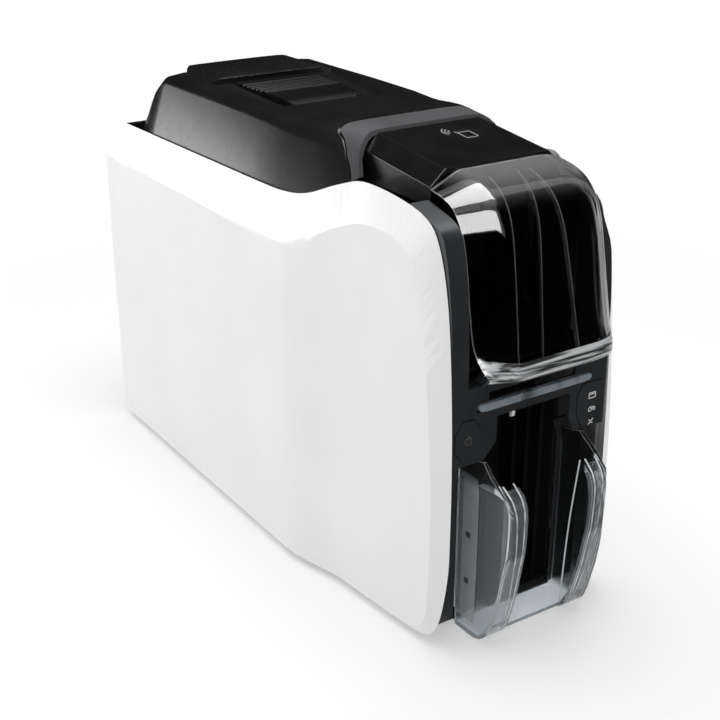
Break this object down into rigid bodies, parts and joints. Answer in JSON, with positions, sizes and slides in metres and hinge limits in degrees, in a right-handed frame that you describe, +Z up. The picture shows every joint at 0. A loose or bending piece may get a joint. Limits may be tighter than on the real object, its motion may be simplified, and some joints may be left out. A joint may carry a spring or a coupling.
{
  "type": "id card printer",
  "caption": "Desktop card printer with a hinged top lid over a ribbon and print head, a clear fold-down card input door and a clear open-fronted output hopper.",
  "frame": {"origin": "middle of the machine's footprint, on the table under the rubber feet", "axes": "+Z up, front with the card door and hoppers faces -Y, +X to the right seen from the front"},
  "size_m": [0.1532, 0.382, 0.2578],
  "materials": {
    "white_cover": "satin white moulded cover",
    "black_cover": "fine textured black moulding",
    "deck_black": "smooth black",
    "bezel_grey": "satin blue-black moulding",
    "inner_black": "matt black",
    "clear_smoke": "lightly smoked clear polycarbonate",
    "clear_grey": "clear polycarbonate",
    "light_strip": "frosted light guide",
    "steel_sheet": "zinc plated sheet",
    "steel_bright": "ground shaft steel",
    "aluminium": "bare extrusion",
    "rubber_black": "matt",
    "rubber_grey": "ground roller rubber",
    "bronze": "sintered bronze",
    "acetal": "natural acetal",
    "board": "solder resist",
    "ceramic": "glazed ceramic",
    "ribbon": "dye film",
    "motor": "dark coated",
    "white_clip": "white acetal"
  },
  "bodies": {
    "chassis": {"base_tray": "inner_black", "rubber_feet": "rubber_black", "left_side_panel": "white_cover", "right_side_panel": "white_cover", "rear_panel": "black_cover", "front_bezel": "bezel_grey", "deck_cover": "deck_black", "left_frame": "steel_sheet", "right_frame": "steel_sheet", "tie_bars": "steel_bright", "card_tray": "inner_black", "output_chute": "inner_black", "output_hopper": "clear_grey", "feed_slot_light": "light_strip", "status_window": "bezel_grey", "main_board": "board", "usb_port": "steel_sheet", "ethernet_port": "steel_sheet", "power_jack": "inner_black", "feed_motor": "motor", "ribbon_motor": "motor", "ribbon_film": "ribbon", "card_guides": "inner_black", "hinge_pins": "steel_bright", "shaft_bushes": "bronze", "frame_screws": "steel_sheet", "rear_screws": "steel_bright"},
    "lid": {"lid_shell": "black_cover", "lid_frame": "inner_black", "button_spring": "steel_bright"},
    "button": {"release_button": "black_cover"},
    "latch": {"latch_bar": "steel_sheet"},
    "head": {"head_carrier": "steel_sheet", "print_head": "ceramic", "head_heat_sink": "aluminium"},
    "door": {"input_door": "clear_smoke", "door_pins": "steel_bright"},
    "weight": {"card_weight": "inner_black"},
    "power": {"power_button": "bezel_grey"},
    "flag": {"exit_flag": "white_clip"},
    "pick": {"pick_roller": "rubber_grey", "pick_shaft": "steel_bright"},
    "cleaning": {"cleaning_roller": "rubber_grey", "cleaning_shaft": "steel_bright"},
    "feed": {"feed_roller": "rubber_grey", "feed_shaft": "steel_bright"},
    "platen": {"platen_roller": "rubber_grey", "platen_shaft": "steel_bright"},
    "exit": {"exit_roller": "rubber_grey", "exit_shaft": "steel_bright"},
    "front_pinch": {"front_pinch_roller": "rubber_grey"},
    "rear_pinch": {"rear_pinch_roller": "rubber_grey"},
    "pick_gear": {"pick_idler": "acetal"},
    "clean_gear": {"clean_idler": "acetal"},
    "front_gear": {"front_idler": "acetal"},
    "rear_gear": {"rear_idler": "acetal"},
    "pinion": {"motor_pinion": "bronze"},
    "supply": {"supply_spool": "ribbon"},
    "takeup": {"takeup_spool": "ribbon"},
    "ribbon_gear": {"ribbon_pinion": "bronze"}
  },
  "joints": [
    {"name": "lid_hinge", "type": "hinge", "parent": "chassis", "child": "lid", "pos_m": [0, 0.16, 0.222], "axis": [-1, 0, 0], "range_deg": [0, 70]},
    {"name": "release_button_slide", "type": "slide", "parent": "lid", "child": "button", "axis": [0, 0, -1], "range_m": [0, 0.003], "stiffness_N_per_m": 600, "springref_m": -0.001, "deforming": ["button_spring"]},
    {"name": "latch_swing", "type": "hinge", "parent": "lid", "child": "latch", "pos_m": [0, 0.012, 0.2268], "axis": [-1, 0, 0], "range_deg": [0, 7]},
    {"name": "head_lift", "type": "hinge", "parent": "lid", "child": "head", "pos_m": [0, 0.055, 0.206], "axis": [-1, 0, 0], "range_deg": [0, 3]},
    {"name": "door_hinge", "type": "hinge", "parent": "chassis", "child": "door", "pos_m": [0, -0.17, 0.158], "axis": [1, 0, 0], "range_deg": [0, 65]},
    {"name": "card_weight_slide", "type": "slide", "parent": "chassis", "child": "weight", "axis": [0, 0, 1], "range_m": [0, 0.06]},
    {"name": "power_button_slide", "type": "slide", "parent": "chassis", "child": "power", "axis": [0, 1, 0], "range_m": [0, 0.001], "stiffness_N_per_m": 900, "springref_m": -0.0005},
    {"name": "exit_flag_hinge", "type": "hinge", "parent": "chassis", "child": "flag", "pos_m": [0, -0.1582, 0.1334], "axis": [1, 0, 0], "range_deg": [0, 35], "stiffness_Nm_per_rad": 0.0005, "springref_deg": -17.19},
    {"name": "platen_spin", "type": "hinge", "parent": "chassis", "child": "platen", "pos_m": [0, 0.021, 0.15], "axis": [1, 0, 0], "continuous": true},
    {"name": "pick_spin", "type": "hinge", "parent": "chassis", "child": "pick", "pos_m": [0, -0.131, 0.15], "axis": [1, 0, 0], "continuous": true},
    {"name": "cleaning_spin", "type": "hinge", "parent": "chassis", "child": "cleaning", "pos_m": [0, -0.085, 0.15], "axis": [1, 0, 0], "continuous": true},
    {"name": "feed_spin", "type": "hinge", "parent": "chassis", "child": "feed", "pos_m": [0, -0.049, 0.15], "axis": [1, 0, 0], "continuous": true},
    {"name": "exit_spin", "type": "hinge", "parent": "chassis", "child": "exit", "pos_m": [0, 0.091, 0.15], "axis": [1, 0, 0], "continuous": true},
    {"name": "front_pinch_spin", "type": "hinge", "parent": "chassis", "child": "front_pinch", "pos_m": [0, -0.049, 0.1629], "axis": [1, 0, 0], "continuous": true},
    {"name": "rear_pinch_spin", "type": "hinge", "parent": "chassis", "child": "rear_pinch", "pos_m": [0, 0.091, 0.1629], "axis": [1, 0, 0], "continuous": true},
    {"name": "pick_gear_spin", "type": "hinge", "parent": "chassis", "child": "pick_gear", "pos_m": [0, -0.108, 0.15], "axis": [1, 0, 0], "continuous": true},
    {"name": "clean_gear_spin", "type": "hinge", "parent": "chassis", "child": "clean_gear", "pos_m": [0, -0.067, 0.15], "axis": [1, 0, 0], "continuous": true},
    {"name": "front_gear_spin", "type": "hinge", "parent": "chassis", "child": "front_gear", "pos_m": [0, -0.014, 0.15], "axis": [1, 0, 0], "continuous": true},
    {"name": "rear_gear_spin", "type": "hinge", "parent": "chassis", "child": "rear_gear", "pos_m": [0, 0.056, 0.15], "axis": [1, 0, 0], "continuous": true},
    {"name": "pinion_spin", "type": "hinge", "parent": "chassis", "child": "pinion", "pos_m": [0, 0.056, 0.121], "axis": [1, 0, 0], "continuous": true},
    {"name": "supply_spin", "type": "hinge", "parent": "chassis", "child": "supply", "pos_m": [0, 0.073, 0.191], "axis": [1, 0, 0], "continuous": true},
    {"name": "takeup_spin", "type": "hinge", "parent": "chassis", "child": "takeup", "pos_m": [0, -0.032, 0.189], "axis": [1, 0, 0], "continuous": true},
    {"name": "ribbon_gear_spin", "type": "hinge", "parent": "chassis", "child": "ribbon_gear", "pos_m": [0, -0.01, 0.189], "axis": [1, 0, 0], "continuous": true}
  ],
  "couplings": [
    {"joint": "latch_swing", "follows": "release_button_slide", "rad_per_m": 38.46},
    {"joint": "pick_spin", "follows": "platen_spin", "ratio": 1},
    {"joint": "cleaning_spin", "follows": "platen_spin", "ratio": 1},
    {"joint": "feed_spin", "follows": "platen_spin", "ratio": 1},
    {"joint": "exit_spin", "follows": "platen_spin", "ratio": 1},
    {"joint": "front_pinch_spin", "follows": "platen_spin", "ratio": -1.4},
    {"joint": "rear_pinch_spin", "follows": "platen_spin", "ratio": -1.4},
    {"joint": "pick_gear_spin", "follows": "platen_spin", "ratio": -1.0909},
    {"joint": "clean_gear_spin", "follows": "platen_spin", "ratio": -2},
    {"joint": "front_gear_spin", "follows": "platen_spin", "ratio": -0.52174},
    {"joint": "rear_gear_spin", "follows": "platen_spin", "ratio": -0.52174},
    {"joint": "pinion_spin", "follows": "platen_spin", "ratio": 2},
    {"joint": "ribbon_gear_spin", "follows": "takeup_spin", "ratio": -2.6667}
  ]
}
